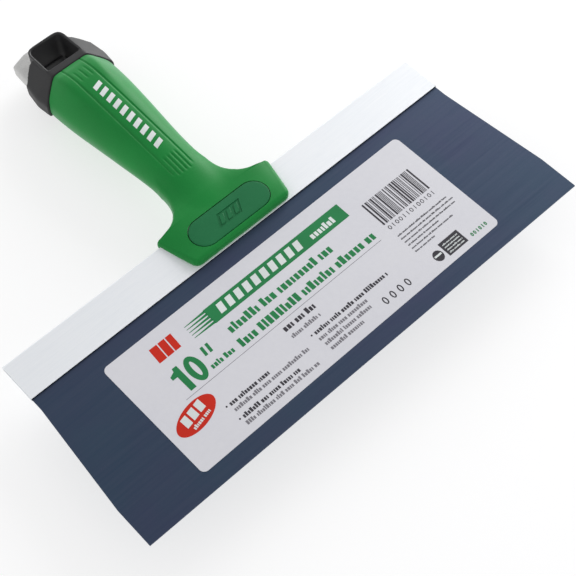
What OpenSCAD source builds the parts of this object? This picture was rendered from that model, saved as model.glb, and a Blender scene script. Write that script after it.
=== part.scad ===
// Ten-inch drywall taping knife: a blued spring-steel blade in a folded backing bar, riveted into a
// rigid handle core that is overmoulded with a soft grip and ends in a metal hammer cap.
// Millimetres. +X runs along the working edge, +Y from the working edge to the hammer cap, and +Z
// out of the face that carries the label. The origin is the middle of the working edge.

/* [Blade] */
// Length of the working edge
blade_w = 254; // [200:1:305]
// Width of the blade where it enters the backing bar
blade_back_w = 244; // [190:0.2:254]
// Thickness of the steel sheet
blade_t = 0.5; // [0.4:0.05:0.8]

/* [Backing bar] */
// Length of the folded bar
bar_l = 244.4; // [190:0.2:254]
// Distance from the working edge to the lip of the bar
bar_y = 84.5; // [70:0.5:95]
// Depth of the bar, from its lip to the outside of its fold
bar_d = 21.3; // [18:0.1:24]
// Thickness of the bar's sheet
bar_t = 0.7; // [0.5:0.1:0.9]

/* [Saddle] */
// Width of the saddle at its blade side
saddle_w = 56; // [50:1:60]
// Width of the saddle across its two tips
saddle_tip_w = 67.6; // [62:0.2:70]
// Thickness of the saddle over the grip's skin
saddle_t = 9.4; // [9:0.2:11]
// Thickness of the rigid jaws, front face to back face
jaw_t = 6; // [5.4:0.2:6.4]

/* [Handle] */
// Angle at which the handle leans back from the blade's plane
droop = 3.2; // [0:0.2:6]
// Length of the handle from the neck to the striking face
handle_l = 129.3; // [125:0.1:135]
// Widest part of the soft grip
grip_w = 39.2; // [36:0.2:40]
// Thickest part of the soft grip
grip_t = 30.8; // [29:0.2:32]

/* [Hang hole] */
// Width of the hang hole at its front mouth
hole_w = 18.8; // [16:0.2:19.4]
// Length of the hang hole along the handle, at its front mouth
hole_l = 16; // [14:0.2:16.4]
// Width of the ledge half way down the hole
hole_ledge = 0.7; // [0.4:0.1:1.2]

/* [Label] */
// Width of the label
label_w = 178.3; // [150:0.1:190]
// Height of the label
label_h = 66.5; // [50:0.1:70]
// How far the label is turned from square
label_turn = 0.36; // [-1:0.02:1]

/* [Hidden] */
$fn = 64;
eps = 0.01;

// Blade: straight ends beside the working edge, then tapering to the width at the bar
taper_start_y = 20.5;
taper_end_y = 78;
blade_back_y = bar_y + bar_d - 1;

// Backing bar
bar_half = blade_t / 2 + bar_t;
bar_back_y = bar_y + bar_d;

// Saddle: jaws over the bar, their rivets, and the two racetrack covers
saddle_y = 85.4;
saddle_tip_y = 108;
saddle_corner_r = 3;
half_saddle = saddle_t / 2;
saddle_edge = 3;
skin = 2.6;
tip_skin = 4;
rivet_y = 95.8;
rivet_pitch = 14;
rivet_r = 2;
rivet_head_r = 3.5;
rivet_head_t = 0.9;
rivet_play = 0.05;
cover_l = 44.6;
cover_w = 15.6;
cover_gap = 0.25;
peg_r = 1.2;
peg_l = 1.4;
peg_pitch = 14;

// Sweep from the saddle's tips into the neck: a quarter of a superellipse
sweep_c = [saddle_tip_w / 2 + 0.2, 129.4];
sweep_a = 19.7;
sweep_b = 21;
sweep_power = 2 / 2.4;
sweep_steps = 12;
sweep_lead = 4;
side_power = 0.9;
side_steps = 4;
edge_steps = 4;
ring_points = 36;

// Handle's own frame: it starts at the neck and leans back by the droop
neck_y = 113;
half_w = grip_w / 2;
half_t = grip_t / 2;

// Grip stations: [distance along the handle, half width, half thickness, squareness]
GRIP = [
    [-30, 33, 4.7, 5],
    [-8, 33, 4.7, 5],
    [-2, 25, 5.3, 3.6],
    [5, 17, 6.4, 2.6],
    [12, 14.9, 7.7, 2.2],
    [20, 14.3, 9.1, 2.1],
    [33, 15.1, 10.8, 2.1],
    [48, 16.4, 12.5, 2.1],
    [62, 17.8, 14.0, 2.1],
    [77, 19.2, 15.1, 2.1],
    [87, half_w, half_t, 2.1],
    [94, half_w, 14.3, 2.1],
    [99, 19.6, 12.75, 2.1],
    [105, 19.6, 12.75, 2.1]
];
ring_gap = 4;
grip_end_u = 101;
square_early = 0.15;
square_mid_u = 40;
square_late_u = 60;

// Eight-sided sections: [half width of the flats, their height, half width across the sides, half
// height of the sides, how far the sides' middle lies above the axis]
SEAM = [10.3, 12.8, 19.7, 3.2, 0];
FLARE = [10.7, 12.9, 21.3, 3.2, 1.5];
COLLAR_END = [10.4, 10.2, 18.3, 3.2, 2.8];
CAP_START = [10.3, 8.6, 17.2, 3.2, 2.4];
CAP_FACE = [8.5, 6.3, 16, 3, 0];

// Places along the handle
seam_side_u = 94.5;
seam_top_u = 99.3;
flare_u = 101.5;
collar_end_u = 119;
cap_side_u = 111.4;
cap_top_u = 118.5;
face_u = handle_l;
cap_edge = 1.2;
cap_drop = 1.4;

// Hang hole and the square frame round it
hole_u = 111.8;
frame_rim = 1.3;
frame_half_t = 12.8;
frame_half_w = hole_w / 2 + frame_rim;
frame_taper = 0.9;
frame_l = hole_l + 2 * frame_rim;
ledge_n = -3.2;

// Studs of the hammer cap, moulded into the collar's side walls
stud_x = 14.4;
stud_r = 2.4;
stud_l = 12;
stud_root = 2.4;

// Rigid spine inside the grip: [distance along the handle, [half width, half thickness]]
spine_half_w = 11;
SPINE = [[-7.2, [spine_half_w, 3]], [24, [9.5, 5]], [100, [12, 8]]];
key_r = 3;
key_us = [38, 56, 74];

// Label
label_c = [-2.2, 42.4];
label_t = 0.12;
label_r = 2.8;

// ---------- Helpers ----------
function smooth(t) = t <= 0 ? 0 : t >= 1 ? 1 : t * t * (3 - 2 * t);

function mirrored(points) = concat(points, [for (i = [len(points) - 1:-1:0]) [-points[i].x, points[i].y]]);

// Smooth curve through column k of the grip stations
function slope(i, k) =
    let (a = max(i - 1, 0), b = min(i + 1, len(GRIP) - 1))
    (GRIP[b][k] - GRIP[a][k]) / (GRIP[b][0] - GRIP[a][0]);
function span(u, i = 0) = i >= len(GRIP) - 2 || u < GRIP[i + 1][0] ? i : span(u, i + 1);
function grip_at(u, k) =
    let (i = span(u), d = GRIP[i + 1][0] - GRIP[i][0], t = (u - GRIP[i][0]) / d)
    GRIP[i][k] * (1 + 2 * t) * pow(1 - t, 2) + slope(i, k) * d * t * pow(1 - t, 2)
    + GRIP[i + 1][k] * t * t * (3 - 2 * t) + slope(i + 1, k) * d * t * t * (t - 1);

// Point on a superellipse of half sizes w and h, at parameter a
function bend(c, power) = sign(c) * pow(abs(c), power);
function oval(a, w, h, p) = [w * bend(cos(a), 2 / p), h * bend(sin(a), 2 / p)];

// Distance from the centre of an eight-sided section to its outline, in the direction of point d
function oct_r(d, s) =
    let (c = abs(d.x) / norm(d), n = abs(d.y) / norm(d), dx = s[2] - s[0], dy = s[1] - s[3])
    min(s[1] / max(n, eps), s[2] / max(c, eps), (s[0] * dy + s[1] * dx) / (c * dy + n * dx));

// How far a ring has turned from an oval into the seam's eight-sided section
function squared(u) = square_early * smooth(u / square_mid_u)
    + (1 - square_early) * smooth((u - square_late_u) / (seam_top_u - square_late_u));

// The head lies in the blade's plane, and past the neck the rings lean back with the handle
function placed(x, u, n) =
    u < 0 ? [x, neck_y + u, n]
    : [x, neck_y + u * cos(droop) + n * sin(droop), n * cos(droop) - u * sin(droop)];
function ring(u, w, h) =
    let (k = squared(u), p = grip_at(u, 3), s = [SEAM[0] * w / SEAM[2], h, w, SEAM[3] * h / SEAM[1]])
    [for (i = [0:ring_points - 1])
        let (d = oval(360 * i / ring_points, w, h, p), q = d * (1 - k + k * oct_r(d, s) / norm(d)))
        placed(q.x, u, q.y)];

// Rings of the grip: the saddle's rounded front edge, its flared sides, the sweep, and the handle
function saddle_rings() = concat(
    [for (i = [0:edge_steps - 1])
        let (a = 90 * i / (edge_steps - 1))
        ring(saddle_y + saddle_corner_r * (1 - cos(a)) - neck_y,
             saddle_w / 2 - saddle_corner_r * (1 - sin(a)), saddle_edge * (1 - sin(a)) + half_saddle * sin(a))],
    [for (i = [1:side_steps])
        let (t = i / side_steps, straight_y = saddle_y + saddle_corner_r)
        ring(straight_y + (saddle_tip_y - straight_y) * t - neck_y,
             (saddle_w + (saddle_tip_w - saddle_w) * pow(t, side_power)) / 2, half_saddle)]);
function sweep_rings() =
    [for (i = [1:sweep_steps])
        let (a = 90 * i / sweep_steps - sweep_lead, u = sweep_c.y - sweep_b * pow(cos(a), sweep_power) - neck_y)
        ring(u, sweep_c.x - sweep_a * pow(sin(a), sweep_power), grip_at(u, 2))];
function handle_rings() =
    [for (u = [sweep_c.y - neck_y + ring_gap / 2:ring_gap:grip_end_u]) ring(u, grip_at(u, 1), grip_at(u, 2))];

// Corners of an eight-sided section whose flats may sit further along the handle than its sides
function corners(s, u_flat, u_side) = [
    for (x = [-1, 1], z = [-1, 1], p = [[s[0], u_flat, s[1], 0], [s[2], u_side, s[3], s[4]]])
        [x * p[0], p[1], z * p[2] + p[3]]
];
function box_corners(half, u) = [for (x = [-1, 1], z = [-1, 1]) [x * half[0], u, z * half[1]]];

// ---------- Shared shapes ----------
module handle_frame() {
    translate([0, neck_y, 0]) rotate([-droop, 0, 0]) children();
}

// Solid through a list of rings with the same number of points, each in a plane across the handle
module loft(rings) {
    m = ring_points;
    last = len(rings) - 1;
    sides = [for (j = [0:last - 1], i = [0:m - 1])
                 let (a = j * m + i, b = j * m + (i + 1) % m)
                 each [[a, b, b + m], [a, b + m, a + m]]];
    ends = [[for (i = [m - 1:-1:0]) i], [for (i = [0:m - 1]) last * m + i]];
    polyhedron([for (r = rings) each r], concat(sides, ends));
}

// Convex solid round a list of corner points
module corner_hull(points) {
    hull() polyhedron(points, [[for (i = [0:len(points) - 1]) i]]);
}

module racetrack(l, w) {
    square([l - w, w], center = true);
    for (s = [-1, 1]) translate([s * (l - w) / 2, 0]) circle(d = w);
}

module cover_pocket() {
    translate([0, rivet_y, jaw_t / 2 - eps])
        linear_extrude(saddle_t) racetrack(cover_l + 2 * cover_gap, cover_w + 2 * cover_gap);
}

module blade_outline(y_end) {
    polygon(mirrored([
        [blade_w / 2, 0],
        [blade_w / 2, taper_start_y],
        [blade_back_w / 2, taper_end_y],
        [blade_back_w / 2, y_end]
    ]));
}

module rivet_holes(r) {
    for (i = [-1:1])
        translate([i * rivet_pitch, rivet_y, 0]) cylinder(r = r, h = 2 * saddle_t, center = true);
}

// Plan of the rigid jaws, at least one skin's thickness inside the saddle
module jaw_outline() {
    polygon(mirrored([
        [saddle_w / 2 - skin, saddle_y + skin],
        [saddle_tip_w / 2 - tip_skin, saddle_tip_y - skin],
        [spine_half_w, neck_y]
    ]));
}

// ---------- Sub-parts ----------
module blade() {
    color([0.24, 0.28, 0.37]) difference() {
        translate([0, 0, -blade_t / 2]) linear_extrude(blade_t) blade_outline(blade_back_y);
        rivet_holes(rivet_r + rivet_play);
    }
}

module back_bar() {
    color([0.88, 0.90, 0.92]) difference() {
        union() {
            translate([-bar_l / 2, bar_y, -bar_half]) cube([bar_l, bar_d - bar_half, 2 * bar_half]);
            translate([0, bar_back_y - bar_half, 0])
                rotate([0, 90, 0]) cylinder(r = bar_half, h = bar_l, center = true);
        }
        translate([-bar_l, bar_y - 1, -blade_t / 2]) cube([2 * bar_l, blade_back_y - bar_y + 1, blade_t]);
        rivet_holes(rivet_r + rivet_play);
    }
}

module rivet() {
    cylinder(r = rivet_r, h = jaw_t - eps, center = true);
    for (s = [-1, 1]) translate([0, 0, s * (jaw_t - rivet_head_t) / 2])
        cylinder(r = rivet_head_r, h = rivet_head_t, center = true);
}

module saddle_rivets() {
    color([0.75, 0.75, 0.73]) for (i = [-1:1]) translate([i * rivet_pitch, rivet_y, 0]) rivet();
}

// Solid jaws before the bar's slot is cut
module core_saddle() {
    translate([0, 0, -jaw_t / 2]) linear_extrude(jaw_t) jaw_outline();
}

// The spine is pierced by keying holes, which the grip's material fills
module core_spine() {
    difference() {
        for (i = [0:len(SPINE) - 2])
            corner_hull(concat(box_corners(SPINE[i][1], SPINE[i][0]),
                               box_corners(SPINE[i + 1][1], SPINE[i + 1][0])));
        for (u = key_us) translate([0, u, 0]) cylinder(r = key_r, h = grip_t, center = true);
    }
}

module collar_blank() {
    corner_hull(concat(corners(SEAM, seam_top_u, seam_side_u), corners(FLARE, flare_u, flare_u),
                       corners(COLLAR_END, collar_end_u, collar_end_u)));
}

// Everything past the shallow V in which the collar meets the hammer cap
module cap_side() {
    reach = 3 * COLLAR_END[1];
    rise = (cap_top_u - cap_side_u) / (COLLAR_END[1] - COLLAR_END[3]);
    v = [grip_w, reach, grip_w, COLLAR_END[3], COLLAR_END[4]];
    corner_hull(concat(corners(v, cap_side_u + rise * (reach - COLLAR_END[3]), cap_side_u),
                       corners(v, handle_l + reach, handle_l + reach)));
}

module collar() {
    difference() {
        collar_blank();
        cap_side();
    }
}

// Square tube round the hang hole, a little narrower at its hammer end
module hang_frame() {
    front = hole_u - hole_l / 2 - frame_rim;
    translate([0, 0, -frame_half_t]) linear_extrude(2 * frame_half_t)
        polygon(mirrored([[frame_half_w, front], [frame_half_w - frame_taper, front + frame_l]]));
}

module hang_hole() {
    for (inset = [0, hole_ledge])
        translate([0, 0, inset == 0 ? ledge_n : -2 * frame_half_t]) linear_extrude(4 * frame_half_t)
            polygon(mirrored([
                [hole_w / 2 - inset, hole_u - hole_l / 2 + inset],
                [hole_w / 2 - frame_taper - inset, hole_u + hole_l / 2 - inset]
            ]));
}

module cap_studs() {
    for (s = [-1, 1]) translate([s * stud_x, cap_side_u + stud_root - stud_l, 0])
        rotate([-90, 0, 0]) cylinder(r = stud_r, h = stud_l);
}

// Room for the folded bar between the jaws
module bar_slot() {
    translate([-bar_l, 0, -bar_half]) cube([2 * bar_l, bar_back_y - bar_half, 2 * bar_half]);
    translate([0, bar_back_y - bar_half, 0])
        rotate([0, 90, 0]) cylinder(r = bar_half, h = bar_l, center = true);
}

module handle_core() {
    color([0.13, 0.13, 0.14]) difference() {
        union() {
            core_saddle();
            handle_frame() {
                core_spine();
                collar();
                hang_frame();
            }
        }
        bar_slot();
        rivet_holes(rivet_r);
        for (i = [-1:1], s = [-1, 1])
            translate([i * rivet_pitch, rivet_y, s * (jaw_t - rivet_head_t) / 2])
                cylinder(r = rivet_head_r, h = rivet_head_t + eps, center = true);
        for (x = [-1, 1], s = [-1, 1])
            translate([x * peg_pitch / 2, rivet_y, s * (jaw_t / 2 - peg_l / 2)])
                cylinder(r = peg_r, h = peg_l + eps, center = true);
        handle_frame() {
            hang_hole();
            cap_studs();
        }
    }
}

module soft_grip() {
    color([0.15, 0.49, 0.24]) difference() {
        loft(concat(saddle_rings(), sweep_rings(), handle_rings()));
        core_saddle();
        handle_frame() {
            core_spine();
            collar_blank();
        }
        bar_slot();
        for (s = [0, 1]) mirror([0, 0, s]) cover_pocket();
    }
}

// Cover over the rivets' heads, with two pegs that press into the jaw
module cover() {
    translate([0, rivet_y, jaw_t / 2]) linear_extrude((saddle_t - jaw_t) / 2) racetrack(cover_l, cover_w);
    for (x = [-1, 1]) translate([x * peg_pitch / 2, rivet_y, jaw_t / 2 - peg_l])
        cylinder(r = peg_r, h = peg_l + eps);
}

module front_cover() {
    color([0.17, 0.44, 0.28]) cover();
}

module back_cover() {
    color([0.17, 0.44, 0.28]) mirror([0, 0, 1]) cover();
}

module hammer_cap() {
    face_rim = [for (v = CAP_FACE) v - cap_edge];
    color([0.75, 0.75, 0.76]) handle_frame() {
        difference() {
            translate([0, 0, -cap_drop])
                corner_hull(concat(corners(CAP_START, cap_side_u, cap_side_u),
                                   corners(CAP_FACE, face_u - cap_edge, face_u - cap_edge),
                                   corners(face_rim, face_u, face_u)));
            collar();
            hang_frame();
        }
        cap_studs();
    }
}

module label() {
    color([0.86, 0.86, 0.88]) translate([label_c.x, label_c.y, blade_t / 2]) rotate(label_turn)
        linear_extrude(label_t) {
            square([label_w, label_h - 2 * label_r], center = true);
            square([label_w - 2 * label_r, label_h], center = true);
            for (x = [-1, 1], y = [-1, 1])
                translate([x * (label_w / 2 - label_r), y * (label_h / 2 - label_r)]) circle(r = label_r);
        }
}

blade();
back_bar();
saddle_rivets();
handle_core();
soft_grip();
front_cover();
back_cover();
hammer_cap();
label();
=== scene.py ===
import math
import random

import bmesh
import bpy
import numpy as np
from mathutils import Matrix, Vector
from mathutils.bvhtree import BVHTree


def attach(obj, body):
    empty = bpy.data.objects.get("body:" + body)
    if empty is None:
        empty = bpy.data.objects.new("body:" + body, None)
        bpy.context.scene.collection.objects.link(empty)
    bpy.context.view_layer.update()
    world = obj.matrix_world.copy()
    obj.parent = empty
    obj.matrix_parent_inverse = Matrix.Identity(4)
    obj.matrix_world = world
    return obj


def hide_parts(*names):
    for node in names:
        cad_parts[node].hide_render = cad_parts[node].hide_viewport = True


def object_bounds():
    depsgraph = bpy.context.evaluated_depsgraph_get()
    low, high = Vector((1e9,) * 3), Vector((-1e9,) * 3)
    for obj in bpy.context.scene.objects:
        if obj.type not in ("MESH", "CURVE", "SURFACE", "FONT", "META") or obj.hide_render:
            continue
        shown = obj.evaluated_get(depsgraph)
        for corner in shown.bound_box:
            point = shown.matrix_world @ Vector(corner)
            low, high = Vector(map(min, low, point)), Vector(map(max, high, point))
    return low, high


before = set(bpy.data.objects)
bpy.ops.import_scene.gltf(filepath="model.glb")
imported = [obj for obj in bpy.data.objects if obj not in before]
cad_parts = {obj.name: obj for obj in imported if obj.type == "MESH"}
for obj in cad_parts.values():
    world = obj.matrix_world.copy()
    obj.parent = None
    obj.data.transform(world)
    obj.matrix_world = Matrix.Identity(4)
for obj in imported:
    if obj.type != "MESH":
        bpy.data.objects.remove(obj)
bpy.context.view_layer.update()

MM = 0.001

# ---------------------------------------------------------------------------------------------
# Sizes, in millimetres, in the CAD's frame: +X along the working edge, +Y towards the hammer cap,
# +Z out of the labelled face. The handle leans back from the blade's plane, past the neck.
# ---------------------------------------------------------------------------------------------
NECK_Y = 113.0
LEAN = math.radians(3.2)

# _T is a sheet's thickness, _L a length along the working edge, _Y where a thing starts or its middle,
# and _D how far it reaches from there
BLADE_T = 0.5
LABEL_TOP = 0.37
LABEL_CENTRE = (-2.2, 42.4)
LABEL_TURN = math.radians(0.36)

BAR_L, BAR_Y, BAR_D, BAR_T = 244.4, 84.5, 21.3, 0.7
# The lip along the bar's front edge: its height over the sheet, the radius of its corner, and its
# slope back down, as pairs of a distance from the edge and a share of the height
LIP_H, LIP_SOFT, LIP_SLOPE = 0.14, 0.16, [(0.4, 0.7), (0.6, 0.25), (0.85, 0.0)]
FOLD_BEHIND = 1.0       # from the slot's end to the back of the fold
BAR_END_SOFT = 0.1
CLEAR = 0.02            # between pieces that touch in CAD

# The saddle widens from its front edge to its tips, whose upper side drops a little
SADDLE_Y, SADDLE_TIP_Y = 85.4, 107.6
SADDLE_W, SADDLE_TIP_W = 56.0, 67.8
SADDLE_H = 4.7
SADDLE_CORNER, SADDLE_FILLET, SADDLE_CROWN, TIP_DROP = 2.8, 2.2, 0.35, 1.5
TIP_POWER, TIP_REACH, TIP_ROUND = 0.9, 1.4, 1.2
# Behind the tips the webs sweep in along a quarter of a superellipse, with these slopes past its ends
SWEEP_X, SWEEP_Y, SWEEP_A, SWEEP_B, SWEEP_POWER = 33.9, 129.4, 19.6, 21.6, 2.4
SWEEP_SLOPE_OUT, SWEEP_SLOPE_IN = 2.4, 0.35
WEB_FILLET = 2.4        # where the webs meet the grip's body
WEB_LEAST_W = 6.0       # webs narrower than this lie inside the body

COVER_L, COVER_W, COVER_Y, COVER_GAP = 44.4, 15.4, 95.8, 0.36
# The cover's soft edge, and its crown as pairs of a distance in from the edge and a height
COVER_SOFT, COVER_CROWN = 0.35, [(1.5, 0.02), (3.5, 0.05), (5.5, 0.07)]
# The device's field and ribs, in half widths and half heights, and how deep they start and how high
# they stand from the cover's face
DEVICE_SUNK, DEVICE_W, DEVICE_H = 0.3, 6.6, 3.4
RIB_PITCH, RIB_W, RIB_H, RIB_LOW, RIB_HIGH, RIB_SOFT = 4.2, 1.25, 2.5, 0.6, 0.1, 0.25
JAW_H = 3.0

# Distance along the handle, half width and half thickness of the grip's body, and the power of its oval
BODY = [
    (-30, 15.0, 1.0, 2.2),
    (-16, 14.8, 1.6, 2.2),
    (-9, 14.6, 3.3, 2.2),
    (-4, 14.3, 4.9, 2.2),
    (2, 14.2, 5.9, 2.2),
    (8, 14.2, 6.9, 2.2),
    (14, 14.3, 8.0, 2.2),
    (20, 14.1, 9.1, 2.1),
    (33, 14.7, 10.8, 2.1),
    (48, 16.1, 12.5, 2.1),
    (62, 17.5, 14.0, 2.1),
    (77, 18.9, 15.1, 2.1),
    (87, 19.4, 15.4, 2.1),
    (94, 19.6, 14.3, 2.1),
    (99, 19.6, 12.75, 2.1),
    (105, 19.6, 12.75, 2.1),
]
# The neck's sides hang down by this much at this distance from the middle, and at most this many times
SIDE_SAG, SAG_X, SAG_MOST = 0.8, 14, 1.2

# Distances along the handle between which one shape gives way to the next
FILLET_GROWS = (-24, -14)       # between the webs and the body
WEBS_FADE = (18, 26)            # into the body
WIDTH_FADES = (22, 30)          # from the webs' own to the body's
SAG_GROWS, SAG_FADES = (-5, 7), (30, 65)
FIRST_SQUARED, FIRST_SHARE, THEN_SQUARED = (0, 40), 0.15, 60

# Sections of collar and cap are octagons: half width and height of the flats, half width and half
# height of the sides, and how far the sides lie above the middle
SEAM = (10.3, 12.8, 19.9, 3.4, -0.4)
FLARE = (10.7, 12.9, 21.5, 3.5, 0.4)
COLLAR_END = (11.0, 11.4, 19.0, 3.7, 1.8)
CAP_START = (10.4, 9.7, 18.3, 3.4, 2.3)
CAP_FACE = (8.5, 6.3, 16.0, 3.0, 0.0)
# The seam and the cap's joint lie further along the handle on the flats than on the sides
SEAM_SIDE_U, SEAM_TOP_U, FLARE_U, COLLAR_END_U = 93.3, 99.3, 101.5, 119.0
CAP_SIDE_U, CAP_TOP_U, FACE_U, CAP_DROP = 110.8, 118.5, 129.3, 2.2
COLLAR_LOW, LIP_U = 10.1, 115.6     # the collar's depth behind, and where its lips stop
CAP_INSIDE, CAP_GAP = 4, 0.2        # the cap's reach into the collar, and its overlap with the frame
# Hang hole: its middle, width and length, the frame's wall, how much narrower the frame is at its back,
# and the ledge inside it. Outlines are rounded at their front and back corners.
HOLE_U, HOLE_W, HOLE_L, HOLE_RIM, HOLE_TAPER = 112.2, 19.2, 16.8, 1.3, 0.4
HOLE_LEDGE, LEDGE_N = 0.7, -3.2
FRAME_H = 12.8
FRAME_ROUND, HOLE_ROUND, CAP_ROUND = (2.0, 4.6), (1.2, 3.4), (2.0, 4.4)
MOUTH_DEEP, MOUTH_WIDE = 0.4, 0.75  # chamfer round the hole

GRIP_END_U = 101.0
SEAM_GAP = 0.3
SEAM_LEAD = 8.0         # the collar is rounded while it is this much too long, then cut at the seam
CORE_END_U = 93.0       # where the spine from the CAD core ends inside the collar

# Well outside the handle, for cutters: across or out of it, and along it
FAR, FAR_U = 40.0, 170

# ---------------------------------------------------------------------------------------------
# Small helpers
# ---------------------------------------------------------------------------------------------
def smooth(t):
    t = min(max(t, 0.0), 1.0)
    return t * t * (3 - 2 * t)


def step_up(u, start, end):
    """A smooth step from 0 at start to 1 at end."""
    return smooth((u - start) / (end - start))


def soft_min(values, reach):
    """The least of some values, rounded over where two of them come within reach of each other."""
    least = min(values)
    return least - reach * math.log(sum(math.exp((least - v) / reach) for v in values))


def in_handle(x, u, n):
    """A point given across, along and out of the handle, in the CAD's frame."""
    if u < 0:
        return (x, NECK_Y + u, n)
    c, s = math.cos(LEAN), math.sin(LEAN)
    return (x, NECK_Y + u * c + n * s, n * c - u * s)


def mesh_object(name, bm, slot=None, replaces=(), material=None, angle=None):
    """Turns a bmesh in millimetres into a finished piece in metres."""
    bmesh.ops.recalc_face_normals(bm, faces=bm.faces)
    mesh = bpy.data.meshes.new(name)
    bm.to_mesh(mesh)
    bm.free()
    mesh.transform(Matrix.Scale(MM, 4))
    obj = bpy.data.objects.new(name, mesh)
    bpy.context.scene.collection.objects.link(obj)
    if angle is not None:
        shade(obj, angle)
    if material:
        mesh.materials.append(material)
    if slot:
        settle(obj, replaces)
    return obj


def settle(obj, replaces=()):
    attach(obj, "root")
    if replaces:
        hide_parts(*replaces)


def shade(obj, angle):
    mesh = obj.data
    mesh.polygons.foreach_set("use_smooth", [True] * len(mesh.polygons))
    mesh.set_sharp_from_angle(angle=math.radians(angle))


def apply_modifiers(obj):
    """Bakes an object's modifiers into its mesh."""
    graph = bpy.context.evaluated_depsgraph_get()
    graph.update()
    baked = bpy.data.meshes.new_from_object(obj.evaluated_get(graph))
    old = obj.data
    obj.modifiers.clear()
    obj.data = baked
    baked.name = old.name
    bpy.data.meshes.remove(old)


def boolean(obj, cutter, operation="DIFFERENCE"):
    mod = obj.modifiers.new("cut", "BOOLEAN")
    mod.operation = operation
    mod.solver = "EXACT"
    mod.object = cutter
    apply_modifiers(obj)
    bpy.data.objects.remove(cutter)


def bridge(bm, rings):
    """Joins rings of vertices, one after another, and closes the first and the last."""
    k = len(rings[0])
    for a, b in zip(rings, rings[1:]):
        for i in range(k):
            j = (i + 1) % k
            bm.faces.new((a[i], a[j], b[j], b[i]))
    bm.faces.new(list(reversed(rings[0])))
    bm.faces.new(rings[-1])


def prism(bm, outline, low, high, place=lambda x, y, z: (x, y, z)):
    """Adds a closed prism over a flat outline, between two heights, to a bmesh."""
    bridge(bm, [[bm.verts.new(place(x, y, z)) for x, y in outline] for z in (low, high)])


def racetrack(length, width, centre=(0.0, 0.0), steps=24):
    r, half = width / 2, (length - width) / 2
    points = []
    for side, start in ((1, -90), (-1, 90)):
        for i in range(steps + 1):
            a = math.radians(start + 180 * i / steps)
            points.append((centre[0] + side * half + r * math.cos(a), centre[1] + r * math.sin(a)))
    return points


def hull(points):
    bm = bmesh.new()
    for p in points:
        bm.verts.new(p)
    result = bmesh.ops.convex_hull(bm, input=bm.verts)
    loose = {g for g in result["geom_interior"] + result["geom_unused"] if isinstance(g, bmesh.types.BMVert)}
    bmesh.ops.delete(bm, geom=list(loose), context="VERTS")
    bmesh.ops.dissolve_limit(bm, angle_limit=math.radians(1), verts=bm.verts, edges=bm.edges)
    return bm


def corners(section, u_flat, u_side, drop=0.0, low=None):
    """The eight corners of a section across the handle; low is the depth of its back, if not the same."""
    a, b, c, d, rise = section
    out = []
    for x in (-1, 1):
        for z in (-1, 1):
            flat = b if z > 0 or low is None else low
            out.append(in_handle(x * a, u_flat, z * flat - drop))
            out.append(in_handle(x * c, u_side, z * d + rise - drop))
    return out


# ---------------------------------------------------------------------------------------------
# Materials
# ---------------------------------------------------------------------------------------------
NOISE_LOW, NOISE_HIGH = 0.3, 0.7    # nearly all of a noise texture's values lie between these


class Nodes:
    """A short way to write a procedural material."""

    def __init__(self, name):
        self.material = bpy.data.materials.new(name)
        self.material.use_nodes = True
        self.tree = self.material.node_tree
        self.tree.nodes.clear()
        self.out = self.add("ShaderNodeOutputMaterial")
        self.shader = self.add("ShaderNodeBsdfPrincipled")
        self.link(self.shader.outputs["BSDF"], self.out.inputs["Surface"])
        self.coords = self.add("ShaderNodeTexCoord").outputs["Object"]

    def add(self, kind, **settings):
        node = self.tree.nodes.new(kind)
        for key, value in settings.items():
            setattr(node, key, value)
        return node

    def link(self, a, b):
        self.tree.links.new(a, b)

    def set(self, **values):
        for key, value in values.items():
            self.shader.inputs[key.replace("_", " ")].default_value = value
        return self

    def noise(self, scale, detail=3.0, rough=0.55, stretch=(1, 1, 1)):
        mapping = self.add("ShaderNodeMapping")
        mapping.inputs["Scale"].default_value = stretch
        self.link(self.coords, mapping.inputs["Vector"])
        noise = self.add("ShaderNodeTexNoise")
        noise.inputs["Scale"].default_value = scale
        noise.inputs["Detail"].default_value = detail
        noise.inputs["Roughness"].default_value = rough
        self.link(mapping.outputs["Vector"], noise.inputs["Vector"])
        return noise.outputs["Fac"]

    def ramp(self, value, stops):
        ramp = self.add("ShaderNodeValToRGB")
        elements = ramp.color_ramp.elements
        while len(elements) < len(stops):
            elements.new(0.5)
        for element, (position, colour) in zip(elements, stops):
            element.position = position
            element.color = (*colour, 1.0)
        self.link(value, ramp.inputs["Fac"])
        return ramp.outputs["Color"]

    def spread(self, value, low, high):
        """A noise value, spread out to run from low to high."""
        node = self.add("ShaderNodeMapRange")
        node.inputs["From Min"].default_value = NOISE_LOW
        node.inputs["From Max"].default_value = NOISE_HIGH
        node.inputs["To Min"].default_value = low
        node.inputs["To Max"].default_value = high
        self.link(value, node.inputs["Value"])
        return node.outputs["Result"]

    def mixed(self, fac, a, b):
        """Two colours mixed; each of the three may be a socket or a constant."""
        node = self.add("ShaderNodeMix", data_type="RGBA")
        for socket, value in ((node.inputs[0], fac), (node.inputs[6], a), (node.inputs[7], b)):
            if isinstance(value, (int, float)):
                socket.default_value = value
            elif isinstance(value, tuple):
                socket.default_value = (*value, 1.0)
            else:
                self.link(value, socket)
        return node.outputs[2]

    def colour(self, socket):
        self.link(socket, self.shader.inputs["Base Color"])
        return self

    def rough(self, socket):
        self.link(socket, self.shader.inputs["Roughness"])
        return self

    def bump(self, *layers):
        """Bump layers, each (height socket, depth in metres), one over the other."""
        normal = None
        for height, depth in layers:
            bump = self.add("ShaderNodeBump")
            bump.inputs["Strength"].default_value = 1.0
            bump.inputs["Distance"].default_value = depth
            self.link(height, bump.inputs["Height"])
            if normal is not None:
                self.link(normal, bump.inputs["Normal"])
            normal = bump.outputs["Normal"]
        self.link(normal, self.shader.inputs["Normal"])
        return self


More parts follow.
